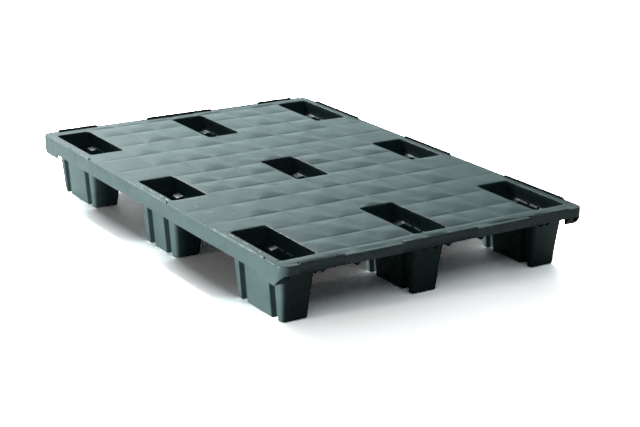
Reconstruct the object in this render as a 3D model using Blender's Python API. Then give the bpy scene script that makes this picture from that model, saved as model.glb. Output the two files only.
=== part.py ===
"""Nestable plastic pallet, modelled as the single injection moulding that it is.

A closed deck sheet carries nine hollow feet, whose insides are open from above so that
empty pallets nest. A skirt hangs round the deck, a grid of thin ribs stiffens it from below,
and short rims along the edge keep a load from sliding off.

Metres, +Z up. X is the short side and Y the long side. The origin is at the centre of the
base, on the surface that the feet stand on.
"""
import math

import bpy
import bmesh
from mathutils import Vector

# Overall size
deck_width = 0.800
deck_length = 1.200
deck_height = 0.146
corner_radius = 0.022
sheet = 0.003

# Rims along the edge of the deck, as distances from the middle of each side
rim_height = 0.004
long_side_rims = ((0.000, 0.098), (0.315, 0.530))
short_side_rims = ((0.000, 0.098), (0.245, 0.355))

# Skirt, as depths below the deck's top
long_skirt_depth = 0.036
end_skirt_depth = 0.046
end_skirt_from = 0.506
short_skirt_depth = 0.021
notch_depth = 0.0345
notch_width = 0.006

# Feet: three columns and three rows
column_pitch = 0.332
row_pitch = 0.454
opening_width = 0.0885
outer_opening_length = 0.211
middle_opening_length = 0.176
foot_width = 0.065
outer_foot_length = 0.182
middle_foot_length = 0.152
opening_corner = 0.0075
foot_corner = 0.0085
foot_edge_radius = 0.0035

# The step inside each pocket that stops a nested pallet from wedging
seat_depth = 0.031
seat_drop = 0.0035
seat_width = 0.0044
collar_draft = 0.0007
gusset_width = 0.0025

# Flutes up the sides of the feet
flute_depth = 0.011
flute_top_width = 0.016
flute_foot_width = 0.040
outer_flute_offset = 0.0624
middle_flute_offset = 0.0418
flute_side_lean = 0.002

# Ribs under the deck
rib_thickness = 0.0025
long_rib_depth = 0.034
cross_rib_depth = 0.033
long_rib_positions = (0.032, 0.120, 0.204, 0.290)
cross_rib_positions = (0.079, 0.180, 0.281, 0.382, 0.483, 0.557)
centre_rib_span = (0.075, 0.360)

# Short ribs from the short sides' skirt to the feet, and the box that stiffens each corner
end_rib_positions = (0.0, 0.308)
end_rib_reach = 0.040
corner_rib = 0.368
corner_wall = 0.572

# Small overlap that carries a cutter clear of the face it cuts
clear = 0.001


def empty_scene():
    """Remove whatever the file holds."""
    for item in list(bpy.data.objects):
        bpy.data.objects.remove(item, do_unlink=True)


def collection(name):
    """A new collection linked to the scene."""
    made = bpy.data.collections.new(name)
    bpy.context.scene.collection.children.link(made)
    return made


def rounded_rectangle(half_x, half_y, radius, steps):
    """Outline of a rectangle with quarter-circle corners, counter-clockwise from +X."""
    points = []
    for quarter, (sx, sy) in enumerate(((1, 1), (-1, 1), (-1, -1), (1, -1))):
        for step in range(steps + 1):
            angle = math.radians(90 * quarter + 90 * step / steps)
            x = sx * (half_x - radius) + radius * math.cos(angle)
            y = sy * (half_y - radius) + radius * math.sin(angle)
            points.append((x, y))
    return points


def loft(name, sections, home, centre=(0.0, 0.0)):
    """Closed solid through a stack of outlines.

    sections is a list of (height, outline) from the top down, all outlines with the same
    number of points in counter-clockwise order.
    """
    bm = bmesh.new()
    loops = []
    for height, outline in sections:
        loops.append([bm.verts.new((centre[0] + x, centre[1] + y, height)) for x, y in outline])
    count = len(loops[0])
    for upper, lower in zip(loops, loops[1:]):
        for i in range(count):
            j = (i + 1) % count
            bm.faces.new((lower[i], lower[j], upper[j], upper[i]))
    bm.faces.new(loops[0])
    bm.faces.new(list(reversed(loops[-1])))
    bmesh.ops.recalc_face_normals(bm, faces=bm.faces)
    mesh = bpy.data.meshes.new(name)
    bm.to_mesh(mesh)
    bm.free()
    made = bpy.data.objects.new(name, mesh)
    home.objects.link(made)
    return made


def block(name, low, high, home):
    """Plain box between two corners."""
    bm = bmesh.new()
    bmesh.ops.create_cube(bm, size=1.0)
    low = Vector(low)
    high = Vector(high)
    bmesh.ops.scale(bm, vec=high - low, verts=bm.verts)
    bmesh.ops.translate(bm, vec=(low + high) / 2, verts=bm.verts)
    mesh = bpy.data.meshes.new(name)
    bm.to_mesh(mesh)
    bm.free()
    made = bpy.data.objects.new(name, mesh)
    home.objects.link(made)
    return made


def cut_or_join(target, operand, operation):
    """Exact Boolean modifier with one object or a whole collection."""
    step = target.modifiers.new(operation.title(), "BOOLEAN")
    step.operation = operation
    step.solver = "EXACT"
    if isinstance(operand, bpy.types.Collection):
        step.operand_type = "COLLECTION"
        step.collection = operand
    else:
        step.object = operand


def settle(target):
    """Replace an object's mesh with its evaluated shape and drop its modifiers."""
    graph = bpy.context.evaluated_depsgraph_get()
    shape = bpy.data.meshes.new_from_object(target.evaluated_get(graph))
    target.modifiers.clear()
    target.data = shape


def foot_half_sizes(opening_length, foot_length):
    """Half width and half length of a foot's outside at the step and at its base."""
    collar = (opening_width / 2 + sheet - collar_draft, opening_length / 2 + sheet - collar_draft)
    cup = (collar[0] - seat_width, collar[1] - seat_width)
    base = (foot_width / 2, foot_length / 2)
    return collar, cup, base


def foot_shell(name, centre, opening_length, foot_length, home):
    """Outside of a foot: a short collar, the step under it and the tapering cup."""
    collar, cup, base = foot_half_sizes(opening_length, foot_length)
    top = deck_height - sheet / 2
    step_top = deck_height - seat_depth - seat_drop
    step_foot = step_top - 0.003
    sections = [
        (top, rounded_rectangle(collar[0] + collar_draft, collar[1] + collar_draft, opening_corner, 3)),
        (step_top, rounded_rectangle(collar[0], collar[1], opening_corner, 3)),
        (step_foot, rounded_rectangle(cup[0], cup[1], opening_corner, 3)),
    ]
    for turn in (0, 30, 60, 90):
        lift = foot_edge_radius * (1 - math.sin(math.radians(turn)))
        inset = foot_edge_radius * (1 - math.cos(math.radians(turn)))
        outline = rounded_rectangle(base[0] - inset, base[1] - inset, foot_corner - inset, 3)
        sections.append((lift, outline))
    return loft(name, sections, home, centre)


def flute(name, centre, side, offset, top, grow, opening_length, foot_length, home):
    """Tapered channel up one side of a foot.

    grow widens and deepens it by the wall thickness, which turns the channel's cutter into
    the bulge that the same channel makes inside the pocket.
    """
    collar, cup, base = foot_half_sizes(opening_length, foot_length)
    span = deck_height - seat_depth - seat_drop
    sections = []
    for height in (top, -clear):
        fall = 1 - height / span
        wall = cup[0] + (base[0] - cup[0]) * fall
        half = (flute_top_width + (flute_foot_width - flute_top_width) * fall) / 2 + grow
        floor = wall - flute_depth - grow
        mouth = wall + 0.006
        if side > 0:
            outline = [(floor, -half + flute_side_lean), (mouth, -half - flute_side_lean),
                       (mouth, half + flute_side_lean), (floor, half - flute_side_lean)]
        else:
            outline = [(-floor, half - flute_side_lean), (-mouth, half + flute_side_lean),
                       (-mouth, -half - flute_side_lean), (-floor, -half + flute_side_lean)]
        sections.append((height, outline))
    return loft(name, sections, home, (centre[0], centre[1] + offset))


def pocket(name, centre, opening_length, foot_length, flute_offset, gussets, home, bulges):
    """The hollow of a foot, from above the deck down to the foot's floor."""
    collar, cup, base = foot_half_sizes(opening_length, foot_length)
    mouth = (opening_width / 2, opening_length / 2)
    seat = deck_height - seat_depth
    sections = [
        (deck_height + 2 * clear, rounded_rectangle(mouth[0], mouth[1], opening_corner, 3)),
        (deck_height, rounded_rectangle(mouth[0], mouth[1], opening_corner, 3)),
        (seat, rounded_rectangle(collar[0] - sheet, collar[1] - sheet, opening_corner, 3)),
        (seat - seat_drop, rounded_rectangle(cup[0] - sheet, cup[1] - sheet, opening_corner - 0.002, 3)),
        (sheet, rounded_rectangle(base[0] - sheet, base[1] - sheet, foot_corner - sheet, 3)),
    ]
    made = loft(name, sections, home, centre)
    for side in (-1, 1):
        for end in (-1, 1):
            top = seat - seat_drop
            flute("bulge", centre, side, end * flute_offset, top, sheet, opening_length, foot_length, bulges)
        for offset in gussets:
            wall = collar[0] - sheet
            low = (min(side * (wall - seat_width), side * (wall + clear)), offset - gusset_width / 2)
            high = (max(side * (wall - seat_width), side * (wall + clear)), offset + gusset_width / 2)
            block("gusset", (centre[0] + low[0], centre[1] + low[1], seat - seat_drop - clear),
                  (centre[0] + high[0], centre[1] + high[1], seat + 0.002), bulges)
    cut_or_join(made, bulges, "DIFFERENCE")
    settle(made)
    return made


def guide(items):
    """Mark objects as cutters or building blocks that are not part of the object."""
    for item in items:
        item.hide_render = True
        item.display_type = "WIRE"


empty_scene()
body = collection("pallet_body")
solids = collection("joined_solids")
cutters = collection("cutters")

half_x = deck_width / 2
half_y = deck_length / 2

# Deck and skirt start as one block, hollowed from below and shallowly from above.
pallet = loft("pallet", [
    (deck_height + rim_height, rounded_rectangle(half_x, half_y, corner_radius, 5)),
    (deck_height - end_skirt_depth, rounded_rectangle(half_x, half_y, corner_radius, 5)),
], body)
inner = rounded_rectangle(half_x - sheet, half_y - sheet, corner_radius - sheet, 5)
hollows = collection("deck_hollows")
loft("under_deck", [(deck_height - sheet, inner), (deck_height - end_skirt_depth - clear, inner)], hollows)
loft("over_deck", [(deck_height + rim_height + clear, inner), (deck_height, inner)], hollows)
cut_or_join(pallet, hollows, "DIFFERENCE")

# Rib grid, running into the middle of the skirt and of the deck sheet.
reach_x = half_x - sheet / 2
reach_y = half_y - sheet / 2
long_top = deck_height - sheet * 0.5
cross_top = deck_height - sheet * 0.4
for place in long_rib_positions:
    for x in (-place, place):
        block("long_rib", (x - rib_thickness / 2, -reach_y, deck_height - long_rib_depth),
              (x + rib_thickness / 2, reach_y, long_top), solids)
for near, far in (centre_rib_span, tuple(-v for v in reversed(centre_rib_span))):
    block("centre_rib", (-rib_thickness / 2, near, deck_height - long_rib_depth),
          (rib_thickness / 2, far, long_top), solids)
end_rib_foot = deck_height - long_rib_depth + clear / 2
corner_foot = deck_height - end_skirt_depth + clear / 2
for side in (-1, 1):
    for place in end_rib_positions:
        for x in sorted({-place, place}):
            ys = sorted((side * reach_y, side * (half_y - end_rib_reach)))
            block("end_rib", (x - rib_thickness / 2, ys[0], end_rib_foot),
                  (x + rib_thickness / 2, ys[1], long_top), solids)
    for end in (-1, 1):
        xs = sorted((end * corner_rib, end * reach_x))
        y = side * corner_wall
        block("corner_wall", (xs[0], y - rib_thickness / 2, corner_foot),
              (xs[1], y + rib_thickness / 2, cross_top), solids)
        ys = sorted((side * reach_y, side * corner_wall))
        x = end * corner_rib
        block("corner_rib", (x - rib_thickness / 2, ys[0], corner_foot),
              (x + rib_thickness / 2, ys[1], cross_top), solids)
for place in (0.0,) + cross_rib_positions:
    for y in sorted({-place, place}):
        block("cross_rib", (-reach_x, y - rib_thickness / 2, deck_height - cross_rib_depth),
              (reach_x, y + rib_thickness / 2, cross_top), solids)

# Feet: the outside is joined on, the flutes and the pocket are cut afterwards.
for column in (-1, 0, 1):
    for row in (-1, 0, 1):
        centre = (column * column_pitch, row * row_pitch)
        if row == 0:
            lengths = (middle_opening_length, middle_foot_length)
            offset = middle_flute_offset
            gussets = (0.0,)
        else:
            lengths = (outer_opening_length, outer_foot_length)
            offset = outer_flute_offset
            gussets = (-0.0175, 0.0175)
        foot_shell("foot", centre, *lengths, solids)
        bulges = collection("bulges")
        pocket("pocket", centre, *lengths, offset, gussets, cutters, bulges)
        guide(bulges.objects)
        for side in (-1, 1):
            for end in (-1, 1):
                flute("flute", centre, side, end * offset, deck_height - seat_depth - seat_drop - 0.004,
                      0.0, *lengths, cutters)
cut_or_join(pallet, solids, "UNION")

# The rims stand only on stretches of each side: the rest is cut down to the deck.
rim_top = deck_height + rim_height + clear
for near, far in ((long_side_rims[0][1], long_side_rims[1][0]),
                  (-long_side_rims[1][0], -long_side_rims[0][1])):
    block("rim_gap", (-half_x - clear, near, deck_height), (half_x + clear, far, rim_top), cutters)
for near, far in ((short_side_rims[0][1], short_side_rims[1][0]),
                  (-short_side_rims[1][0], -short_side_rims[0][1])):
    block("rim_gap", (near, -half_y - clear, deck_height), (far, half_y + clear, rim_top), cutters)
for sx in (-1, 1):
    for sy in (-1, 1):
        xs = sorted((sx * short_side_rims[1][1], sx * (half_x + clear)))
        ys = sorted((sy * long_side_rims[1][1], sy * (half_y + clear)))
        block("rim_corner", (xs[0], ys[0], deck_height), (xs[1], ys[1], rim_top), cutters)

# Long sides: the skirt is shallower between its deeper ends, with a nick beside each end.
skirt_foot = deck_height - end_skirt_depth - clear
for side in (-1, 1):
    xs = sorted((side * (half_x - sheet - clear), side * (half_x + clear)))
    block("long_trim", (xs[0], -end_skirt_from + notch_width / 2, skirt_foot),
          (xs[1], end_skirt_from - notch_width / 2, deck_height - long_skirt_depth), cutters)
    for end in (-1, 1):
        ys = sorted((end * (end_skirt_from - notch_width), end * end_skirt_from))
        block("nick", (xs[0], ys[0], skirt_foot), (xs[1], ys[1], deck_height - notch_depth), cutters)

# Short sides: a wedge trims the skirt and slopes from it down to the deeper corners and ribs.
for side in (-1, 1):
    drop = end_skirt_depth - short_skirt_depth + clear
    outer = half_y + clear
    inner = half_y - sheet + clear / 2
    outlines = []
    for inset in (0.0, drop):
        ys = sorted((side * outer, side * (inner - inset)))
        outlines.append([(half_x + clear, ys[0]), (half_x + clear, ys[1]),
                         (-half_x - clear, ys[1]), (-half_x - clear, ys[0])])
    loft("short_trim", [(deck_height - short_skirt_depth, outlines[0]), (skirt_foot, outlines[1])], cutters)

cut_or_join(pallet, cutters, "DIFFERENCE")
guide(list(hollows.objects) + list(solids.objects) + list(cutters.objects))

plastic = bpy.data.materials.new("pallet_plastic")
plastic.use_nodes = True
shader = plastic.node_tree.nodes["Principled BSDF"]
shader.inputs["Base Color"].default_value = (0.045, 0.065, 0.066, 1.0)
shader.inputs["Roughness"].default_value = 0.38
shader.inputs["Metallic"].default_value = 0.0
plastic.diffuse_color = (0.12, 0.16, 0.16, 1.0)
pallet.data.materials.append(plastic)
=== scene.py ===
"""Looks of a nestable plastic pallet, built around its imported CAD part.

The pallet is one injection moulding, so its finished surface is one mesh. It is put together
below in the order in which the eye takes the moulding apart: the hollow feet, the deck sheet
between them, the skirt and rims round the edge, and the ribs underneath.
"""

import math

import bmesh
import bpy
import numpy as np
from mathutils import Euler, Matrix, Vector
from mathutils.geometry import delaunay_2d_cdt


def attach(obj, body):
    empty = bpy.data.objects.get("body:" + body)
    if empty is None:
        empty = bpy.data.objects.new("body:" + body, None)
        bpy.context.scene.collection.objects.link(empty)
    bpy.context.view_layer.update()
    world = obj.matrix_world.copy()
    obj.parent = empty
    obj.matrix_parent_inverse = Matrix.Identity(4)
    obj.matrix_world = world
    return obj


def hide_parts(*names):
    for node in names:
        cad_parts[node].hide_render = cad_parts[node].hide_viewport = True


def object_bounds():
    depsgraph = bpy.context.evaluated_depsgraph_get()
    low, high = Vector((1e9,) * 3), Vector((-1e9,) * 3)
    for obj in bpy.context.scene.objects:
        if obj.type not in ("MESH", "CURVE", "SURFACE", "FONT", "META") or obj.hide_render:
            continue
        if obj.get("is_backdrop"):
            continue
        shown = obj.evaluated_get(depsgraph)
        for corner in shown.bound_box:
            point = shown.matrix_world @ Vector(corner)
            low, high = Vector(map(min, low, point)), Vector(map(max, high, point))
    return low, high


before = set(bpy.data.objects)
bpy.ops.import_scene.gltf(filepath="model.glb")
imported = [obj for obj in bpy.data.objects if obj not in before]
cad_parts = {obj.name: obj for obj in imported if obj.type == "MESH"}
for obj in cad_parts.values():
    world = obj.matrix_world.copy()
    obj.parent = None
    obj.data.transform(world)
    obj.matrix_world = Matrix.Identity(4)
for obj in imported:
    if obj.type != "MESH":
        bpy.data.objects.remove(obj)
cad_low, cad_high = (list(corner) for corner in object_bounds())

# Nesting feet
# Nine hollow, tapering feet, open from above so that empty pallets stack into each other.
# Each is one wall of polyethylene, moulded in one with the deck, with two flutes up either
# long wall and a sloped seat inside that stops a nested pallet from wedging.

rim_height = 0.0040
deck_top = cad_high[2] - rim_height
sheet = 0.003
column_pitch = 0.332
row_pitch = 0.454
flute_sink = 0.014
flute_lean = 0.0003
flute_half_width = 0.0128
flute_rounding = 0.0022
pocket_corner = 0.0085
foot_corner = 0.0100

# Each row's feet: half length of the opening, half length of the base, flute offset, gussets
outer_row = (0.1055, 0.0910, 0.0624, (-0.0175, 0.0175))
middle_row = (0.0880, 0.0760, 0.0418, (0.0,))
opening_half_width = 0.04425
base_half_width = 0.0325

moulding_points = []
moulding_wear_and_highlight = []
moulding_faces = []
moulding_sides = []
show_side, core_side = 0, 1


def keep_points(points, wear_and_highlight=0.0):
    """Adds a block of points to the moulding and returns the number of its first point.

    The second argument says how pale each point is painted, from 0 on a sheltered face to 1 on an
    edge, for handling wear and for painted highlights.
    """
    points = np.asarray(points, float).reshape(-1, 3)
    first = sum(len(block) for block in moulding_points)
    moulding_points.append(points)
    moulding_wear_and_highlight.append(np.broadcast_to(np.asarray(wear_and_highlight, float), len(points)))
    return first


def keep_faces(faces, side):
    """Adds faces, and which side of the mould shaped them."""
    moulding_faces.extend(faces)
    moulding_sides.extend([side] * len(faces))


def keep_grid(grid, wear_and_highlight, side):
    """Adds a grid of points whose columns close into a ring, with a quad between each four.

    The paleness for wear and painted highlights has one value for each row, or one for each point.
    """
    rows, columns = grid.shape[:2]
    wear_and_highlight = np.asarray(wear_and_highlight, float).reshape(rows, -1)
    first = keep_points(grid, np.broadcast_to(wear_and_highlight, (rows, columns)).ravel())
    index = first + np.arange(rows * columns).reshape(rows, columns)
    ahead = np.roll(index, -1, axis=1)
    quads = np.stack([index[:-1], index[1:], ahead[1:], ahead[:-1]], axis=-1)
    keep_faces(quads.reshape(-1, 4).tolist(), side)
    return index


def soften(corners, reach, steps=3):
    """Rounds a polygon's corners.

    Each corner becomes a quadratic Bezier curve, (1-t)^2 A + 2t(1-t) P + t^2 B, from a point A
    that lies reach before the corner P to a point B that lies reach after it. Reach is held
    under half of the shorter edge, so a corner on a straight line stays on it.
    """
    corners = np.asarray(corners, float)
    back = np.roll(corners, 1, axis=0) - corners
    ahead = np.roll(corners, -1, axis=0) - corners
    back_length = np.linalg.norm(back, axis=1, keepdims=True)
    ahead_length = np.linalg.norm(ahead, axis=1, keepdims=True)
    reach = np.minimum(np.asarray(reach, float)[:, None],
                       0.45 * np.minimum(back_length, ahead_length))
    start = corners + back / back_length * reach
    end = corners + ahead / ahead_length * reach
    t = np.linspace(0.0, 1.0, steps + 1)[None, :, None]
    curve = (1 - t) ** 2 * start[:, None] + 2 * t * (1 - t) * corners[:, None] + t ** 2 * end[:, None]
    return curve.reshape(-1, 2)


def foot_outline(half_x, half_y, corner, flute_at, flute_half, flute_in):
    """Closed outline of a foot at one level, counter-clockwise.

    A rectangle whose two long walls each carry two trapezoid flutes, flute_half wide to either
    side of flute_at and flute_in deep; all its corners are softened.
    """
    wall = [(half_x, -half_y)]
    reach = [corner]
    for end in (-1, 1):
        middle = end * flute_at
        wall += [(half_x, middle - flute_half - flute_lean),
                 (half_x - flute_in, middle - flute_half + flute_lean),
                 (half_x - flute_in, middle + flute_half - flute_lean),
                 (half_x, middle + flute_half + flute_lean)]
        reach += [flute_rounding] * 4
    far_corner = [(half_x, half_y)]
    other_wall = [(-x, -y) for x, y in wall]
    corners = wall + far_corner + other_wall + [(-half_x, -half_y)]
    reaches = reach + [corner] + reach + [corner]
    return soften(corners, reaches)


def foot_wall(centre, row, levels, half_widths, insets, flute_reach, corner, widen):
    """Grid of a foot's wall, one closed outline per level.

    Levels are depths below the deck. The half length follows the half width's taper scaled to
    the row's own length. An inner wall's flutes are wider by the sheet's thickness.
    """
    opening_half_length, base_half_length, flute_at, _ = row
    rings = []
    for depth, half_x, inset, reach in zip(levels, half_widths, insets, flute_reach):
        share = (opening_half_width + widen - half_x) / (opening_half_width - base_half_width)
        half_y = opening_half_length + widen - share * (opening_half_length - base_half_length)
        flute_half = flute_half_width + sheet - widen
        ring = foot_outline(half_x - inset, half_y - inset, corner,
                            flute_at, flute_half, flute_sink * reach)
        rings.append(np.column_stack([ring[:, 0] + centre[0], ring[:, 1] + centre[1],
                                      np.full(len(ring), deck_top - depth)]))
    return np.array(rings)


feet = [(column * column_pitch, line * row_pitch, middle_row if line == 0 else outer_row)
        for column in (-1, 0, 1) for line in (-1, 0, 1)]

# Inside, from the rounded mouth past the sloped seat to the floor; the first two columns are
# depth and half width, then how far the roundings of mouth and floor draw the wall in, and the
# share of the flutes' full depth.
pocket_profile = np.array([
    (0.0000, 0.04425, -0.0013, 0.0), (0.0002, 0.04425, -0.0007, 0.0), (0.0006, 0.04425, -0.0002, 0.0),
    (0.0013, 0.04425, 0.0, 0.0), (0.0160, 0.04390, 0.0, 0.0), (0.0302, 0.04357, 0.0, 0.0),
    (0.0310, 0.04320, 0.0, 0.0), (0.0328, 0.04110, 0.0, 0.02), (0.0342, 0.03935, 0.0, 0.25),
    (0.0350, 0.03908, 0.0, 0.60), (0.0362, 0.03898, 0.0, 0.94), (0.0378, 0.03884, 0.0, 1.0),
    (0.0600, 0.03688, 0.0, 1.0), (0.0850, 0.03466, 0.0, 1.0), (0.1150, 0.03200, 0.0, 1.0),
    (0.1395, 0.02982, 0.0, 1.0), (0.1416, 0.02963, 0.0005, 1.0), (0.1427, 0.02953, 0.0017, 1.0),
    (0.1430, 0.02950, 0.0032, 1.0),
])
shell_profile = np.array([
    (0.0030, 0.04719, 0.0, 0.0), (0.0200, 0.04685, 0.0, 0.0), (0.0342, 0.04656, 0.0, 0.0),
    (0.0350, 0.04610, 0.0, 0.0), (0.0370, 0.04270, 0.0, 0.0), (0.0378, 0.04212, 0.0, 0.0),
    (0.0388, 0.04203, 0.0, 0.05), (0.0396, 0.04195, 0.0, 0.70), (0.0410, 0.04183, 0.0, 1.0),
    (0.0600, 0.04013, 0.0, 1.0), (0.0850, 0.03790, 0.0, 1.0), (0.1150, 0.03524, 0.0, 1.0),
    (0.1425, 0.03281, 0.0, 1.0), (0.1443, 0.03265, 0.0005, 1.0), (0.1455, 0.03254, 0.0016, 1.0),
    (0.1460, 0.03250, 0.0034, 1.0),
])
# The edge of the base is rubbed the most, and the lower wall a little.
base_edge_from = 0.1440
lower_wall_from = 0.1
shell_rubbed = np.where(shell_profile[:, 0] > base_edge_from, 1.0,
                        np.where(shell_profile[:, 0] > lower_wall_from, 0.12, 0.0))
pockets = []
shell_rings = []
for x, y, row in feet:
    pockets.append(foot_wall((x, y), row, *pocket_profile.T, pocket_corner, 0.0))
    outside = foot_wall((x, y), row, *shell_profile.T, foot_corner, sheet)
    shell_rings.append(outside[0, :, :2])
    index = keep_grid(outside, shell_rubbed, core_side)
    keep_faces([index[-1].tolist()], core_side)


def keep_block(low, high):
    """Adds a plain box, given by two corners."""
    xs, ys, zs = zip(low, high)
    around = ((xs[0], ys[0]), (xs[1], ys[0]), (xs[1], ys[1]), (xs[0], ys[1]))
    corners = [(x, y, z) for z in zs for x, y in around]
    first = keep_points(corners)
    box = ((0, 3, 2, 1), (4, 5, 6, 7), (0, 1, 5, 4), (1, 2, 6, 5), (2, 3, 7, 6), (3, 0, 4, 7))
    keep_faces([[first + i for i in face] for face in box], show_side)


# Gussets: small upright webs that divide each seat, with how far they reach out from the
# foot's middle and how far below the deck they end and begin.
gusset_reach = (0.0390, 0.0445)
gusset_depths = (0.0365, 0.0300)
gusset_half = 0.00125
for x, y, row in feet:
    for offset in row[3]:
        for side in (-1, 1):
            xs = sorted(x + side * reach for reach in gusset_reach)
            keep_block((xs[0], y + offset - gusset_half, deck_top - gusset_depths[0]),
                       (xs[1], y + offset + gusset_half, deck_top - gusset_depths[1]))

# Deck sheet
# A closed sheet of polyethylene, 3 mm thick, moulded in one with the ribs under it. Over each
# rib the plastic has shrunk as it cooled and left a shallow sink line; between the ribs it
# bulges into pillows, no two of them quite alike.

half_width = cad_high[0]
half_length = cad_high[1]
corner_radius = 0.022
rim_foot = 0.0120
long_ribs = (0.032, 0.120, 0.204, 0.286)
cross_ribs = (0.0, 0.079, 0.180, 0.281, 0.382, 0.483, 0.560)
centre_lines = (0.0, 0.028)
centre_span = (0.098, 0.345)
sink_depth = 0.0006
sink_width = 0.0042
outer_share = 0.4
centre_share = 0.7
crown = 0.0017
pillow_share = 0.4
roof_run = 0.035
roof_limit = 1.2
margin_crown = 0.25
warp = 0.0007
edge_fade = 0.03
margin_lines = (0.3790, 0.3815, 0.3840)
margin_spans = ((-1.0, 0.088), (0.348, 0.560))
margin_ridge = 0.0004
margin_ridge_width = 0.0007


def both_sides(values):
    """Sorted values with their mirror images."""
    return np.array(sorted({s * v for v in values for s in (-1.0, 1.0)}))


def deck_height(x, y):
    """Height of the deck's top.

    With u and v the shares of the way across a cell, the sheet is crowned by crown times a mix
    of a pillow, |sin(pi u) sin(pi v)|, and a hipped roof. With a and b the distances to the
    nearest line across and along, the roof is hypot(a, b) - |a - b| over roof_run, held at
    roof_limit. A sine of the cell's number scales its crown, and a slow warp of crossed sines
    is added, which fades out towards the long sides. Each rib line pulls the sheet down by
    sink_depth times a bell curve of its distance, which comes and goes along the line in a slow
    sine, and crossing lines combine as 1 - product of (1 - bell). The outermost long ribs pull
    only outer_share as hard and the lines between the middle feet centre_share; past the
    outermost ribs the crown is margin_crown times as high. Fine ridges run along the margins
    beside the feet.
    """
    reach_x, reach_y = half_width - rim_foot, half_length - rim_foot
    x_lines = np.concatenate([[-reach_x], both_sides(long_ribs), [reach_x]])
    y_lines = np.concatenate([[-reach_y], both_sides(cross_ribs), [reach_y]])
    u = np.interp(x, x_lines, np.arange(len(x_lines)))
    v = np.interp(y, y_lines, np.arange(len(y_lines)))
    pillow = np.abs(np.sin(np.pi * u) * np.sin(np.pi * v))
    cell_x = np.interp(u, np.arange(len(x_lines) - 1) + 0.5, np.diff(x_lines))
    cell_y = np.interp(v, np.arange(len(y_lines) - 1) + 0.5, np.diff(y_lines))
    to_x_line = np.abs(u - np.round(u)) * cell_x
    to_y_line = np.abs(v - np.round(v)) * cell_y
    hipped = np.hypot(to_x_line, to_y_line) - np.abs(to_x_line - to_y_line)
    raised = pillow_share * pillow + (1 - pillow_share) * np.clip(hipped / roof_run, 0, roof_limit)
    raised = raised * np.where(np.abs(x) > long_ribs[-1], margin_crown, 1.0)
    uneven = 1 + 0.5 * np.sin(41 * np.floor(u) + 23 * np.floor(v))
    slow = np.sin(17 * x + 9 * y) * np.sin(11 * y - 7 * x + 0.6)
    level = np.ones_like(x)
    for place in both_sides(long_ribs):
        faint = outer_share if abs(place) == long_ribs[-1] else 1.0
        share = (0.75 + 0.25 * np.sin(31 * y + 300 * place)) * faint
        level = level * (1 - share * np.exp(-((x - place) / sink_width) ** 2))
    for place in both_sides(cross_ribs):
        share = 0.6 + 0.35 * np.sin(27 * x + 170 * place)
        level = level * (1 - share * np.exp(-((y - place) / sink_width) ** 2))
    between = (np.abs(y) > centre_span[0]) & (np.abs(y) < centre_span[1])
    for place in both_sides(centre_lines):
        level = level * (1 - centre_share * between * np.exp(-((x - place) / sink_width) ** 2))
    ridge = np.zeros_like(x)
    beside = np.zeros(x.shape, bool)
    for low, high in margin_spans:
        beside |= (np.abs(y) > low) & (np.abs(y) < high)
    for place in margin_lines:
        ridge = ridge + beside * np.exp(-((np.abs(x) - place) / margin_ridge_width) ** 2)
    flat_edge = np.clip((half_width - rim_foot - np.abs(x)) / edge_fade, 0, 1)
    return (deck_top + crown * raised * uneven + warp * slow * flat_edge
            - sink_depth * (1 - level) + margin_ridge * ridge)


def inside_ring(ring, x, y):
    """True where a point lies inside a convex counter-clockwise ring."""
    ahead = np.roll(ring, -1, axis=0)
    side = ((ahead[:, 0] - ring[:, 0])[:, None] * (y[None] - ring[:, 1][:, None])
            - (ahead[:, 1] - ring[:, 1])[:, None] * (x[None] - ring[:, 0][:, None]))
    return (side > 0).all(axis=0)


def keep_sheet(edge, holes, fill, height, side):
    """Adds a flat sheet as Delaunay triangles between its edge and its holes.

    fill is extra points inside it, and height gives each point's level from its x and y.
    """
    rings = [edge] + list(holes)
    starts = np.cumsum([0] + [len(ring) for ring in rings])
    borders = [(int(start + i), int(start + (i + 1) % len(ring)))
               for start, ring in zip(starts, rings) for i in range(len(ring))]
    flat = np.concatenate(rings + [fill])
    found = delaunay_2d_cdt([Vector(p) for p in flat], borders, [], 0, 1e-7)
    flat = np.array([tuple(p) for p in found[0]])
    triangles = np.array(found[2])
    middle = flat[triangles].mean(axis=1)
    solid = np.ones(len(triangles), bool)
    for ring in holes:
        solid &= ~inside_ring(ring, middle[:, 0], middle[:, 1])
    first = keep_points(np.column_stack([flat, height(flat[:, 0], flat[:, 1])]))
    keep_faces((triangles[solid] + first).tolist(), side)


def rounded_distance(x, y, half_x, half_y, radius):
    """Signed distance to a rounded rectangle about the origin, negative inside."""
    out_x = np.abs(x) - half_x + radius
    out_y = np.abs(y) - half_y + radius
    outside = np.hypot(np.maximum(out_x, 0), np.maximum(out_y, 0))
    return outside + np.minimum(np.maximum(out_x, out_y), 0) - radius


def stations(limit, lines, step):
    """Positions along one side: eight close to each sink line, and an even spread between."""
    near = np.array([-0.0105, -0.0065, -0.0035, -0.0015, 0.0015, 0.0035, 0.0065, 0.0105])
    close = (both_sides(lines)[:, None] + near[None]).ravel()
    even = np.linspace(-limit, limit, int(round(2 * limit / step)) + 1)
    far_enough = np.abs(even[:, None] - close[None]).min(axis=1) > 0.4 * step
    spots = np.concatenate([close, even[far_enough]])
    return np.unique(np.round(spots[np.abs(spots) <= limit], 5))


# Skirt and rims
# The edge of the deck turns down into a skirt, deeper at the ends of the long sides. Above the
# deck it stands up as short rims, with a gutter behind each, that keep a load from sliding off.
# Both are one sheet thick and moulded in one with the deck.

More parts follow.
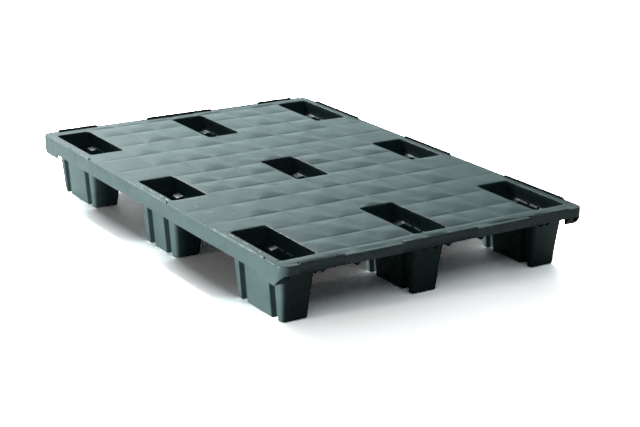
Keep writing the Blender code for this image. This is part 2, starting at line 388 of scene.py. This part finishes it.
long_rims = ((-1.0, 0.098), (0.315, 0.530))
short_rims = ((-1.0, 0.098), (0.245, 0.355))
long_skirt = 0.036
end_skirt = 0.046
end_skirt_from = 0.506
nick_depth = 0.0345
nick_from = 0.500
short_skirt = 0.021
slope_from = 0.5975
gutter_depth = 0.0024
gutter_span = (0.0033, 0.0070)
wide_gutter_span = (0.0070, 0.0110)
step_width = 0.0004
skirt_sink = 0.00022
skirt_sink_width = 0.0016
edge_step = 0.02
edge_gap = 0.004
# A normal whose part along an axis is greater than this faces square along it
square_on = 0.999


def edge_path():
    """Points round the deck's outline, counter-clockwise from the middle of the +X side.

    Straight sides carry a point every 20 mm, a close pair at each end of a rim or step in the
    skirt and five at each rib; corners are quarter circles. Returns positions and normals.
    """
    def spots(limit, marks, ribs):
        steps = [m + s for m in both_sides(marks) for s in (-step_width, step_width)]
        over_rib = skirt_sink_width * np.array([-1.4, -0.7, 0, 0.7, 1.4])
        sinks = [r + s for r in both_sides(ribs) for s in over_rib]
        close = np.array(steps + sinks)
        even = np.linspace(-limit, limit, int(round(2 * limit / edge_step)) + 1)
        apart = np.abs(even[:, None] - close[None]).min(axis=1) > edge_gap
        apart[[0, -1]] = True
        return np.unique(np.concatenate([even[apart], close]))

    slope_to = slope_from - (end_skirt - short_skirt)
    long_marks = [end for span in long_rims for end in span if end > 0]
    long_marks += [nick_from, end_skirt_from, slope_to]
    short_marks = [end for span in short_rims for end in span if end > 0]
    long_side = spots(half_length - corner_radius, long_marks, cross_ribs)
    short_side = spots(half_width - corner_radius, short_marks, long_ribs)
    sweep = np.radians(np.linspace(0, 90, 12)[1:-1])
    places, normals = [], []
    sides = ((0, long_side, half_width), (90, short_side, half_length),
             (180, long_side, half_width), (270, short_side, half_length))
    for angle, along, reach in sides:
        out = np.array([math.cos(math.radians(angle)), math.sin(math.radians(angle))])
        tangent = np.array([-out[1], out[0]])
        places.append(reach * out[None] + along[:, None] * tangent[None])
        normals.append(np.repeat(out[None], len(along), axis=0))
        hub = (reach - corner_radius) * out + along[-1] * tangent
        arc = np.cos(sweep)[:, None] * out[None] + np.sin(sweep)[:, None] * tangent[None]
        places.append(hub[None] + corner_radius * arc)
        normals.append(arc)
    return np.concatenate(places), np.concatenate(normals)


def rim_at(places, normals):
    """Height of the rim above the deck at each place: full on the rims, none between them."""
    on_long = np.abs(normals[:, 0]) > square_on
    on_short = np.abs(normals[:, 1]) > square_on
    along_y, along_x = np.abs(places[:, 1]), np.abs(places[:, 0])
    up = np.zeros(len(places), bool)
    for low, high in long_rims:
        up |= on_long & (along_y > low) & (along_y < high)
    for low, high in short_rims:
        up |= on_short & (along_x > low) & (along_x < high)
    return rim_height * up


def trimmed(depth, y):
    """Depth of a skirt or web at y: near a short side it rises at 45 degrees to the shallow skirt,
    so it is the lesser of its own depth and short_skirt + (slope_from - |y|)."""
    return np.minimum(depth, short_skirt + np.maximum(slope_from - np.abs(y), 0.0))


def skirt_at(places, normals):
    """Depth of the skirt: even along the long sides, with deeper ends and a nick beside each
    end, and shallow along the short sides from the slope in each corner on."""
    along_y = np.abs(places[:, 1])
    on_long = np.abs(normals[:, 0]) > square_on
    middle = np.where(along_y > nick_from, nick_depth, long_skirt)
    depth = np.where(on_long & (along_y < end_skirt_from), middle, end_skirt)
    return trimmed(depth, places[:, 1])


def sink_at(places, normals):
    """How far the skirt's face has sunk in over the ribs: a bell curve of the distance to each."""
    sunk = np.zeros(len(places))
    for axis, ribs in ((1, cross_ribs), (0, long_ribs)):
        on_side = np.abs(normals[:, 1 - axis]) > square_on
        for place in both_sides(ribs):
            sunk += on_side * np.exp(-((places[:, axis] - place) / skirt_sink_width) ** 2)
    return skirt_sink * sunk


places, normals = edge_path()
rim = rim_at(places, normals)
skirt = skirt_at(places, normals)
sunk = sink_at(places, normals)
gutter = gutter_depth * (rim > 0)
wide_gutter = gutter * (np.abs(normals[:, 1]) > square_on)
# Across the edge, from the deck over the rim and down to the underside: distance in from the
# outer face, then how far up the rim, up from the deck and down the skirt each line lies. Lines
# within gutter_span also lie down in the gutter behind a rim, and those within wide_gutter_span
# only behind the rims of the short sides, where the gutter is wider.
across = [
    (rim_foot, 0.00, 0.0, 0.0), (0.0116, 0.00, 0.0, 0.0), (0.0104, 0.00, 0.0, 0.0),
    (0.0074, 0.00, 0.0, 0.0), (0.0066, 0.00, 0.0, 0.0), (0.0040, 0.00, 0.0, 0.0),
    (0.0034, 0.00, 0.0003, 0.0), (0.0032, 0.15, 0.0, 0.0),
    (0.0030, 0.88, 0.0, 0.0), (0.0027, 0.97, 0.0, 0.0), (0.0019, 1.00, 0.0, 0.0),
    (0.0011, 0.99, 0.0, 0.0), (0.0006, 0.90, -0.0001, 0.0), (0.00035, 0.60, -0.0003, 0.0),
    (0.00030, 0.00, -0.0006, 0.0), (0.00005, 0.00, -0.0011, 0.0), (0.0, 0.00, -0.0020, 0.0),
    (0.0, 0.0, 0.0012, 1.0), (0.0004, 0.0, 0.0003, 1.0), (0.0011, 0.0, 0.0, 1.0),
    (0.0021, 0.0, 0.0, 1.0), (0.0027, 0.0, 0.0003, 1.0), (sheet, 0.0, 0.0012, 1.0),
]
edge_rings = []
edge_wear_and_highlight = []
wear_and_highlight_span = (0.0003, 0.003)
# Between the rims the deck's edge is hardly rounded
soft_edge = 0.15
crisp = np.where((rim > 0) | (np.abs(normals).max(axis=1) < square_on), 1.0, soft_edge)
for inward, up_rim, up, down_skirt in across:
    face_sink = sunk if inward == 0.0 else np.zeros(len(places))
    spot = places - normals * (inward + face_sink)[:, None]
    dip = 0.0
    if gutter_span[0] < inward < gutter_span[1]:
        dip = gutter
    elif wide_gutter_span[0] < inward < wide_gutter_span[1]:
        dip = wide_gutter
    level = deck_top + up_rim * rim + up * crisp - down_skirt * skirt - dip
    if not edge_rings:
        level = deck_height(spot[:, 0], spot[:, 1])
    edge_rings.append(np.column_stack([spot, level]))
    # Just inside the top of the edge a pale line is painted, for wear and as a painted highlight:
    # full on the rims, a quarter as strong between them. The skirt's face gets a little wear.
    if wear_and_highlight_span[0] <= inward < wear_and_highlight_span[1] and down_skirt == 0:
        edge_wear_and_highlight.append(0.25 + 0.75 * (rim > 0))
    else:
        edge_wear_and_highlight.append(np.full(len(places), 0.4 * (down_skirt > 0)))
underside = places - normals * sheet
edge_rings.append(np.column_stack([underside, np.full(len(underside), deck_top - sheet)]))
edge_wear_and_highlight.append(np.zeros(len(places)))
keep_grid(np.array(edge_rings), edge_wear_and_highlight, show_side)

# The rounded mouths of the feet rise and fall with the sheet around them.
mouth_rounding = 0.0013
in_mouth = pocket_profile[:, 0] <= mouth_rounding
for inside in pockets:
    inside[in_mouth, :, 2] += deck_height(inside[0, :, 0], inside[0, :, 1]) - deck_top
    # The rounded mouths are painted pale, as a painted highlight with some wear.
    index = keep_grid(inside, np.where(in_mouth, 0.8, 0.0), show_side)
    keep_faces([index[-1].tolist()], show_side)

# With the edge known, the sheet between the skirt and the mouths of the feet is filled in. Its
# points lie sheet_step apart, closer along the sink lines and ridges, and clear of its edges.
sheet_step = 0.012
sheet_margin = 0.008
ridge_steps = (-0.0010, 0.0, 0.0010)
ridge_clearance = 0.0009
edge_clearance = 0.002
mouth_clearance = 0.0032
mouth_corner = 0.006
ridge_x = np.array([side * (line + step)
                    for line in margin_lines for step in ridge_steps for side in (-1, 1)])
along_x = stations(half_width - sheet_margin, long_ribs, sheet_step)
along_x = along_x[np.abs(along_x[:, None] - ridge_x[None]).min(axis=1) > ridge_clearance]
along_y = stations(half_length - sheet_margin, cross_ribs, sheet_step)
grid_x, grid_y = np.meshgrid(np.sort(np.concatenate([along_x, ridge_x])), along_y)
spread = np.column_stack([grid_x.ravel(), grid_y.ravel()])
from_edge = rounded_distance(*spread.T, half_width - rim_foot, half_length - rim_foot, corner_radius)
clear = from_edge < -edge_clearance
for x, y, row in feet:
    from_mouth = rounded_distance(spread[:, 0] - x, spread[:, 1] - y,
                                  opening_half_width, row[0], mouth_corner)
    clear &= from_mouth > mouth_clearance
deck_edge = edge_rings[0][:, :2]
mouth_rings = [inside[0, :, :2] for inside in pockets]
keep_sheet(deck_edge, mouth_rings, spread[clear], deck_height, show_side)
keep_sheet(underside, shell_rings, np.zeros((0, 2)),
           lambda x, y: np.full_like(x, deck_top - sheet), core_side)

# Ribs
# A grid of thin webs under the deck, moulded in one with it, which carries the load across to
# the feet. They run from skirt to skirt and stop at the walls of the feet; short ones stiffen
# the ends and corners.

rib_thickness = 0.0025
long_rib_depth = 0.034
cross_rib_depth = 0.033
outer_long_rib = 0.290
outer_cross_rib = 0.557
centre_web = (0.0885, 0.3475)
end_ribs = (0.0, 0.308)
end_rib_reach = 0.040
end_rib_depth = 0.0335
corner_rib = 0.368
corner_wall = 0.572
corner_depth = 0.0452


def free_spans(position, limit, across_pitch, across_half, along_pitch, along_halves):
    """Stretches of a rib line that lie outside the pockets it crosses."""
    cuts = [(-limit, -limit)]
    if min(abs(position - k * across_pitch) for k in (-1, 0, 1)) < across_half:
        cuts += [(k * along_pitch - h, k * along_pitch + h)
                 for k, h in zip((-1, 0, 1), along_halves)]
    cuts.append((limit, limit))
    return [(before[1], after[0]) for before, after in zip(cuts, cuts[1:])]


def keep_rib(start, end, position, lengthwise, depth):
    """Adds one web between two points of its line.

    Its side view is a strip from inside the deck sheet down to depth; where a lengthwise web
    nears a short side, its lower edge follows the slope of the skirt's corners.
    """
    bends = [s * v for s in (-1, 1) for v in (slope_from, slope_from - (depth - short_skirt))]
    inner = [b for b in bends if start < b < end and lengthwise]
    along = np.array(sorted([start, end] + inner))
    depths = trimmed(depth, along) if lengthwise else np.full(len(along), depth)
    top = deck_top - sheet / 2
    side = np.concatenate([[(start, top)], np.column_stack([along, deck_top - depths]), [(end, top)]])
    faces = []
    for shift in (-rib_thickness / 2, rib_thickness / 2):
        level = np.full(len(side), position + shift)
        columns = (level, side[:, 0], side[:, 1]) if lengthwise else (side[:, 0], level, side[:, 1])
        faces.append(keep_points(np.column_stack(columns)))
    near, far = faces
    count = len(side)
    sides = [[near + i for i in range(count)], [far + i for i in reversed(range(count))]]
    keep_faces(sides, core_side)
    edges = [[near + i, far + i, far + (i + 1) % count, near + (i + 1) % count]
             for i in range(count)]
    keep_faces(edges, core_side)


skirt_x, skirt_y = half_width - sheet / 2, half_length - sheet / 2
outer_half, middle_half = outer_row[0] + sheet / 2, middle_row[0] + sheet / 2
for place in both_sides(long_ribs[:3] + (outer_long_rib,)):
    for start, end in free_spans(place, skirt_y, column_pitch, opening_half_width,
                                 row_pitch, (outer_half, middle_half, outer_half)):
        keep_rib(start, end, place, True, long_rib_depth)
for start, end in (centre_web, (-centre_web[1], -centre_web[0])):
    keep_rib(start, end, 0.0, True, long_rib_depth)
collar_half = opening_half_width + sheet / 2
for place in both_sides(cross_ribs[:6] + (outer_cross_rib,)):
    inside_row = abs(place) < middle_row[0] or abs(abs(place) - row_pitch) < outer_row[0]
    cuts = [(k * column_pitch - collar_half, k * column_pitch + collar_half) for k in (-1, 0, 1)]
    ends = [-skirt_x] + [v for cut in cuts for v in cut] + [skirt_x]
    pairs = list(zip(ends[::2], ends[1::2])) if inside_row else [(ends[0], ends[-1])]
    for start, end in pairs:
        keep_rib(start, end, place, False, cross_rib_depth)
end_rib_from = half_length - end_rib_reach
for side in (-1, 1):
    for place in both_sides(end_ribs):
        keep_rib(*sorted((side * end_rib_from, side * skirt_y)), place, True, end_rib_depth)
    for place in (-corner_rib, corner_rib):
        keep_rib(*sorted((side * corner_wall, side * skirt_y)), place, True, corner_depth)
        end = math.copysign(skirt_x, place)
        keep_rib(*sorted((place, end)), side * corner_wall, False, corner_depth)

# The moulding
# Feet, deck, skirt and ribs are one shot of plastic, so their surfaces are joined into one
# mesh. Its points carry how pale wear and painted highlights make them, and its faces their
# side of the mould.

merge_distance = 0.00002
shortest_edge = 0.000005
crease_angle = math.radians(38)

mesh = bpy.data.meshes.new("pallet_moulding")
mesh.from_pydata(np.concatenate(moulding_points).tolist(), [], moulding_faces)
mesh.polygons.foreach_set("material_index", np.array(moulding_sides, dtype=np.int32))
wear_and_highlight = mesh.attributes.new("wear_and_highlight", "FLOAT", "POINT")
wear_and_highlight.data.foreach_set("value", np.concatenate(moulding_wear_and_highlight).astype(np.float32))
shell = bmesh.new()
shell.from_mesh(mesh)
bmesh.ops.remove_doubles(shell, verts=shell.verts, dist=merge_distance)
bmesh.ops.dissolve_degenerate(shell, edges=shell.edges, dist=shortest_edge)
bmesh.ops.recalc_face_normals(shell, faces=shell.faces)
for face in shell.faces:
    face.smooth = True
for edge in shell.edges:
    edge.smooth = len(edge.link_faces) == 2 and edge.calc_face_angle(0.0) < crease_angle
open_edges = sum(len(edge.link_faces) != 2 for edge in shell.edges)
triangles = sum(len(face.verts) - 2 for face in shell.faces)
print("pallet_moulding", triangles, "triangles,", open_edges, "open edges")
shell.to_mesh(mesh)
shell.free()
pallet = bpy.data.objects.new("pallet_moulding", mesh)
bpy.context.scene.collection.objects.link(pallet)
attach(pallet, "root")
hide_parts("pallet")

# Plastic
# Dark green-grey polyethylene with the even satin of a moulded face. Its shade drifts a little
# along the flow of the melt, and handling has rubbed the edges and left small pale scuffs. The
# same pale colour paints highlights along the tops of the rims and round the mouths of the feet.


def add_node(tree, kind, values=None, **settings):
    """Adds a shader node with its settings and the values of its sockets."""
    made = tree.nodes.new(kind)
    for name, value in settings.items():
        setattr(made, name, value)
    for socket, value in (values or {}).items():
        made.inputs[socket].default_value = value
    return made


def node_group(name, inputs, outputs):
    """A shader node group with named sockets, and its input and output nodes."""
    group = bpy.data.node_groups.new(name, "ShaderNodeTree")
    for label, kind, value in inputs:
        socket = group.interface.new_socket(name=label, in_out="INPUT", socket_type=kind)
        if value is not None:
            socket.default_value = value
    for label, kind in outputs:
        group.interface.new_socket(name=label, in_out="OUTPUT", socket_type=kind)
    return group, group.nodes.new("NodeGroupInput"), group.nodes.new("NodeGroupOutput")


def moulded_grain():
    """Group: the fine grain of the mould and the slow unevenness of the melt, as a height in
    metres, and a mottle from 0 to 1 where the melt ran lighter or darker."""
    group, given, result = node_group(
        "moulded_grain",
        [("Position", "NodeSocketVector", None), ("Grain Height", "NodeSocketFloat", 0.00003),
         ("Swell Height", "NodeSocketFloat", 0.0010)],
        [("Height", "NodeSocketFloat"), ("Mottle", "NodeSocketFloat")])
    link = group.links.new
    grain = add_node(group, "ShaderNodeTexNoise", {"Scale": 620.0, "Detail": 2.0, "Roughness": 0.6})
    swell = add_node(group, "ShaderNodeTexNoise", {
        "Scale": 13.0, "Detail": 2.0, "Roughness": 0.45, "Distortion": 0.4})
    stretch = add_node(group, "ShaderNodeMapping", {
        "Scale": (9.0, 3.2, 9.0), "Rotation": (0.0, 0.0, 0.5)})
    flow = add_node(group, "ShaderNodeTexNoise", {
        "Scale": 3.0, "Detail": 5.0, "Roughness": 0.62, "Distortion": 0.8})
    link(given.outputs["Position"], grain.inputs["Vector"])
    link(given.outputs["Position"], swell.inputs["Vector"])
    link(given.outputs["Position"], stretch.inputs["Vector"])
    link(stretch.outputs["Vector"], flow.inputs["Vector"])
    fine = add_node(group, "ShaderNodeMath", operation="MULTIPLY")
    slow = add_node(group, "ShaderNodeMath", operation="MULTIPLY_ADD")
    link(grain.outputs["Fac"], fine.inputs[0])
    link(given.outputs["Grain Height"], fine.inputs[1])
    link(swell.outputs["Fac"], slow.inputs[0])
    link(given.outputs["Swell Height"], slow.inputs[1])
    link(fine.outputs[0], slow.inputs[2])
    link(slow.outputs[0], result.inputs["Height"])
    spread = add_node(group, "ShaderNodeMapRange", {"From Min": 0.36, "From Max": 0.66})
    link(flow.outputs["Fac"], spread.inputs["Value"])
    link(spread.outputs["Result"], result.inputs["Mottle"])
    return group


def wear_and_painted_highlights():
    """Group: a mask of rubbed edges with painted highlights, and short scratches. Edges show where
    the point attribute of wear and painted highlight beats a noise; scratches are thin bands of a
    stretched noise, kept to scattered patches."""
    group, given, result = node_group(
        "wear_and_painted_highlights",
        [("Position", "NodeSocketVector", None), ("Wear And Highlight", "NodeSocketFloat", 0.0),
         ("Amount", "NodeSocketFloat", 1.0)],
        [("Wear And Highlight Mask", "NodeSocketFloat")])
    link = group.links.new
    patch = add_node(group, "ShaderNodeTexNoise", {"Scale": 46.0, "Detail": 4.0, "Roughness": 0.7})
    link(given.outputs["Position"], patch.inputs["Vector"])
    edge = add_node(group, "ShaderNodeMath", operation="MULTIPLY")
    link(given.outputs["Wear And Highlight"], edge.inputs[0])
    link(patch.outputs["Fac"], edge.inputs[1])
    worn_or_highlit_edge = add_node(group, "ShaderNodeMapRange", {"From Min": 0.28, "From Max": 0.62})
    link(edge.outputs[0], worn_or_highlit_edge.inputs["Value"])
    streak = add_node(group, "ShaderNodeMapping", {
        "Scale": (16.0, 240.0, 60.0), "Rotation": (0.0, 0.0, 0.7)})
    line = add_node(group, "ShaderNodeTexNoise", {"Scale": 1.0, "Detail": 2.0, "Distortion": 0.6})
    link(given.outputs["Position"], streak.inputs["Vector"])
    link(streak.outputs["Vector"], line.inputs["Vector"])
    thin = add_node(group, "ShaderNodeMapRange", {"From Min": 0.66, "From Max": 0.74})
    link(line.outputs["Fac"], thin.inputs["Value"])
    area = add_node(group, "ShaderNodeTexNoise", {"Scale": 9.0, "Detail": 2.0})
    link(given.outputs["Position"], area.inputs["Vector"])
    where = add_node(group, "ShaderNodeMapRange", {"From Min": 0.52, "From Max": 0.66})
    link(area.outputs["Fac"], where.inputs["Value"])
    scratch = add_node(group, "ShaderNodeMath", operation="MULTIPLY")
    link(thin.outputs["Result"], scratch.inputs[0])
    link(where.outputs["Result"], scratch.inputs[1])
    either = add_node(group, "ShaderNodeMath", operation="MAXIMUM")
    link(worn_or_highlit_edge.outputs["Result"], either.inputs[0])
    link(scratch.outputs[0], either.inputs[1])
    scaled = add_node(group, "ShaderNodeMath", operation="MULTIPLY", use_clamp=True)
    link(either.outputs[0], scaled.inputs[0])
    link(given.outputs["Amount"], scaled.inputs[1])
    link(scaled.outputs[0], result.inputs["Wear And Highlight Mask"])
    return group


# Scuffs on the deck: x, y, half length along x, half width along y
scuffs = ((-0.345, -0.205, 0.014, 0.004), (-0.352, -0.150, 0.004, 0.013),
          (-0.085, 0.160, 0.005, 0.005), (0.014, 0.135, 0.003, 0.005),
          (-0.205, -0.040, 0.006, 0.003), (0.106, -0.215, 0.010, 0.003))
scuff_height = 0.004
# Pale colour of wear, scuffs and painted highlights
worn_and_highlit_colour = (0.40, 0.47, 0.47, 1.0)
grain_group = moulded_grain()
wear_and_highlight_group = wear_and_painted_highlights()


def plastic(name, light, dark, roughness, grain_height, swell_height, wear_and_highlight_amount, spots):
    """Finish of one side of the moulding, mixed from its two shades by the mottle, paler where
    it is worn or a highlight is painted; each spot is an ellipse that fades out from its middle."""
    material = bpy.data.materials.new(name)
    material.use_nodes = True
    tree = material.node_tree
    link = tree.links.new
    skin = tree.nodes["Principled BSDF"]
    skin.inputs["Specular IOR Level"].default_value = 0.3
    place = add_node(tree, "ShaderNodeTexCoord")
    grain = add_node(tree, "ShaderNodeGroup", node_tree=grain_group)
    grain.inputs["Grain Height"].default_value = grain_height
    grain.inputs["Swell Height"].default_value = swell_height
    link(place.outputs["Object"], grain.inputs["Position"])
    wear_and_highlight_here = add_node(tree, "ShaderNodeAttribute", attribute_name="wear_and_highlight")
    wear_and_highlight_mask = add_node(tree, "ShaderNodeGroup", node_tree=wear_and_highlight_group)
    wear_and_highlight_mask.inputs["Amount"].default_value = wear_and_highlight_amount
    link(place.outputs["Object"], wear_and_highlight_mask.inputs["Position"])
    link(wear_and_highlight_here.outputs["Fac"], wear_and_highlight_mask.inputs["Wear And Highlight"])
    marks = wear_and_highlight_mask.outputs["Wear And Highlight Mask"]
    for x, y, reach_x, reach_y in spots:
        away = add_node(tree, "ShaderNodeMapping", {
            "Location": (-x / reach_x, -y / reach_y, -deck_top / scuff_height),
            "Scale": (1 / reach_x, 1 / reach_y, 1 / scuff_height)})
        size = add_node(tree, "ShaderNodeVectorMath", operation="LENGTH")
        fade = add_node(tree, "ShaderNodeMapRange", {
            "From Min": 1.0, "From Max": 0.2, "To Max": 0.75})
        both = add_node(tree, "ShaderNodeMath", operation="MAXIMUM")
        link(place.outputs["Object"], away.inputs["Vector"])
        link(away.outputs["Vector"], size.inputs[0])
        link(size.outputs["Value"], fade.inputs["Value"])
        link(marks, both.inputs[0])
        link(fade.outputs["Result"], both.inputs[1])
        marks = both.outputs[0]
    shade = add_node(tree, "ShaderNodeMix", {"A": dark, "B": light}, data_type="RGBA")
    link(grain.outputs["Mottle"], shade.inputs["Factor"])
    # Worn edges, scratches, scuffs and painted highlights all take the same pale colour
    pale_mix = add_node(tree, "ShaderNodeMix", data_type="RGBA")
    pale_mix.inputs["B"].default_value = worn_and_highlit_colour
    link(shade.outputs["Result"], pale_mix.inputs["A"])
    link(marks, pale_mix.inputs["Factor"])
    link(pale_mix.outputs["Result"], skin.inputs["Base Color"])
    gloss = add_node(tree, "ShaderNodeMapRange", {
        "To Min": roughness - 0.03, "To Max": roughness + 0.05})
    link(grain.outputs["Mottle"], gloss.inputs["Value"])
    link(gloss.outputs["Result"], skin.inputs["Roughness"])
    relief = add_node(tree, "ShaderNodeBump", {"Strength": 1.0, "Distance": 1.0})
    link(grain.outputs["Height"], relief.inputs["Height"])
    link(relief.outputs["Normal"], skin.inputs["Normal"])
    return material


show_plastic = plastic("pallet_plastic", (0.100, 0.156, 0.155, 1.0), (0.082, 0.132, 0.132, 1.0),
                       roughness=0.34, grain_height=0.00003, swell_height=0.0016,
                       wear_and_highlight_amount=0.55, spots=scuffs)
core_plastic = plastic("pallet_plastic_core", (0.096, 0.151, 0.149, 1.0), (0.080, 0.127, 0.127, 1.0),
                       roughness=0.42, grain_height=0.00004, swell_height=0.0004,
                       wear_and_highlight_amount=0.45, spots=())
mesh.materials.append(show_plastic)
mesh.materials.append(core_plastic)

# Floor
# A sheet of white paper that runs out of sight, over-exposed but for a shade painted into its colour
# under the pallet.
# It throws more light up behind the pallet than in front, and is brighter in the satin's
# reflection in front.

floor_size = 40
# Strength behind and in front of the pallet, as reflected in the satin and as thrown up on it
mirrored_light = (1.6, 3.2)
thrown_light = (0.9, 0.4)
# Half sizes of the deep shade painted into the paper between the feet, how far it fades out, and how
# strong the paper looks in it and beyond it
painted_shade_half = (0.36, 0.45, 0.0)
painted_shade_fade = 0.09
painted_shade_exposure = (4.2, 20.0)
paper_tint = (1.23, 1.0, 1.0)

bpy.ops.mesh.primitive_plane_add(size=floor_size, location=(0, 0, 0))
floor = bpy.context.object
floor.name = "floor"
paper = bpy.data.materials.new("floor_paper")
paper.use_nodes = True
paper_nodes = paper.node_tree
join = paper_nodes.links.new
paper_nodes.nodes.remove(paper_nodes.nodes["Principled BSDF"])
seen = add_node(paper_nodes, "ShaderNodeLightPath")
on_floor = add_node(paper_nodes, "ShaderNodeTexCoord")
frontward = add_node(paper_nodes, "ShaderNodeVectorMath", {1: (-0.6, -1.0, 0.0)},
                     operation="DOT_PRODUCT")
join(on_floor.outputs["Object"], frontward.inputs[0])
mirrored = add_node(paper_nodes, "ShaderNodeMapRange", {
    "From Min": 0.5, "From Max": 0.8, "To Min": mirrored_light[0], "To Max": mirrored_light[1]})
join(frontward.outputs["Value"], mirrored.inputs["Value"])
thrown = add_node(paper_nodes, "ShaderNodeMapRange", {
    "From Min": -0.4, "From Max": 0.4, "To Min": thrown_light[0], "To Max": thrown_light[1]})
join(frontward.outputs["Value"], thrown.inputs["Value"])
# How far a place on the floor lies outside the painted shade between the feet
folded = add_node(paper_nodes, "ShaderNodeVectorMath", operation="ABSOLUTE")
join(on_floor.outputs["Object"], folded.inputs[0])
past = add_node(paper_nodes, "ShaderNodeVectorMath", {1: painted_shade_half}, operation="SUBTRACT")
join(folded.outputs["Vector"], past.inputs[0])
outward = add_node(paper_nodes, "ShaderNodeVectorMath", operation="MAXIMUM")
join(past.outputs["Vector"], outward.inputs[0])
beyond = add_node(paper_nodes, "ShaderNodeVectorMath", operation="LENGTH")
join(outward.outputs["Vector"], beyond.inputs[0])
# As the camera sees it, the paper's colour is darker in the painted shade between the feet and
# over-exposed beyond it.
painted_shade_tone = add_node(paper_nodes, "ShaderNodeMapRange", {
    "From Min": 0.0, "From Max": painted_shade_fade, "To Min": painted_shade_exposure[0], "To Max": painted_shade_exposure[1]})
join(beyond.outputs["Value"], painted_shade_tone.inputs["Value"])
glossy = add_node(paper_nodes, "ShaderNodeMath", operation="MAXIMUM")
join(seen.outputs["Is Glossy Ray"], glossy.inputs[0])
join(seen.outputs["Is Transmission Ray"], glossy.inputs[1])
in_gloss = add_node(paper_nodes, "ShaderNodeMix", data_type="FLOAT")
join(glossy.outputs[0], in_gloss.inputs["Factor"])
join(thrown.outputs["Result"], in_gloss.inputs["A"])
join(mirrored.outputs["Result"], in_gloss.inputs["B"])
in_view = add_node(paper_nodes, "ShaderNodeMix", data_type="RGBA")
join(seen.outputs["Is Camera Ray"], in_view.inputs["Factor"])
join(in_gloss.outputs["Result"], in_view.inputs["A"])
neutral = add_node(paper_nodes, "ShaderNodeVectorMath", {0: paper_tint}, operation="SCALE")
join(painted_shade_tone.outputs["Result"], neutral.inputs["Scale"])
join(neutral.outputs["Vector"], in_view.inputs["B"])
matt = add_node(paper_nodes, "ShaderNodeBsdfDiffuse")
join(in_view.outputs["Result"], matt.inputs["Color"])
join(matt.outputs["BSDF"], paper_nodes.nodes["Material Output"].inputs["Surface"])
floor.data.materials.append(paper)
floor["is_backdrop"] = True

# Light
# The white wall beyond the far end lies low and bright in the deck's satin, a softbox above it
# catches the seats, and a low card far to the left lights the long side. The room adds a dim
# fill, and the camera sees it plain white.

wall_way = (0.302, 0.930, 0.208)
wall_light = 2.65
wall_tightness = 17.0
room_light = 0.05

world = bpy.data.worlds.new("studio")
bpy.context.scene.world = world
world.use_nodes = True
room = world.node_tree
way = add_node(room, "ShaderNodeTexCoord")
toward_wall = add_node(room, "ShaderNodeVectorMath", operation="DOT_PRODUCT")
toward_wall.inputs[1].default_value = wall_way
room.links.new(way.outputs["Generated"], toward_wall.inputs[0])
off_axis = add_node(room, "ShaderNodeMath", {1: 1.0}, operation="SUBTRACT")
room.links.new(toward_wall.outputs["Value"], off_axis.inputs[0])
narrowed = add_node(room, "ShaderNodeMath", {1: wall_tightness}, operation="MULTIPLY")
room.links.new(off_axis.outputs[0], narrowed.inputs[0])
bell = add_node(room, "ShaderNodeMath", operation="EXPONENT")
room.links.new(narrowed.outputs[0], bell.inputs[0])
brightness = add_node(room, "ShaderNodeMath", {1: wall_light, 2: room_light},
                      operation="MULTIPLY_ADD")
room.links.new(bell.outputs[0], brightness.inputs[0])
background = room.nodes["Background"]
background.inputs["Color"].default_value = (0.77, 1.0, 1.01, 1.0)
room.links.new(brightness.outputs[0], background.inputs["Strength"])
# Past the floor's far edge the camera sees plain white
sight = add_node(room, "ShaderNodeLightPath")
straight = add_node(room, "ShaderNodeMath", operation="MAXIMUM")
room.links.new(sight.outputs["Is Camera Ray"], straight.inputs[0])
room.links.new(sight.outputs["Is Transmission Ray"], straight.inputs[1])
plain_white = add_node(room, "ShaderNodeBackground", {
    "Color": (1.0, 1.0, 1.0, 1.0), "Strength": 1.0})
surrounds = add_node(room, "ShaderNodeMixShader")
room.links.new(straight.outputs[0], surrounds.inputs["Fac"])
room.links.new(background.outputs["Background"], surrounds.inputs[1])
room.links.new(plain_white.outputs["Background"], surrounds.inputs[2])
room.links.new(surrounds.outputs["Shader"], room.nodes["World Output"].inputs["Surface"])


def softbox(name, place, aim, width, height, power):
    """Rectangular lamp at a place, turned to face a point, and not seen itself."""
    lamp = bpy.data.lights.new(name, "AREA")
    lamp.shape = "RECTANGLE"
    lamp.size = width
    lamp.size_y = height
    lamp.energy = power
    made = bpy.data.objects.new(name, lamp)
    made.location = place
    made.rotation_euler = (Vector(aim) - Vector(place)).to_track_quat("-Z", "Y").to_euler()
    made.visible_camera = False
    bpy.context.scene.collection.objects.link(made)
    return made


softbox("back_softbox", (0.25, 3.0, 2.6), (0.0, 0.0, 0.1), 0.83, 0.83, 86)
softbox("low_card", (-12.0, 0.5, 0.05), (-0.4, 0.5, 0.05), 1.2, 0.095, 2050)

# Camera
# Stands off the near corner at head height above the deck and looks down on it with a long
# lens, which is where the photograph was taken from.

lens = bpy.data.cameras.new("view")
lens.lens = 91.57
lens.sensor_width = 36.0
lens.clip_end = 100
camera = bpy.data.objects.new("view", lens)
camera.location = (-1.9905, -3.2276, 1.2556)
camera.rotation_euler = Euler([math.radians(a) for a in (72.0835, -0.6077, -32.4274)])
bpy.context.scene.collection.objects.link(camera)
bpy.context.scene.camera = camera
bpy.context.scene.view_settings.view_transform = "Standard"
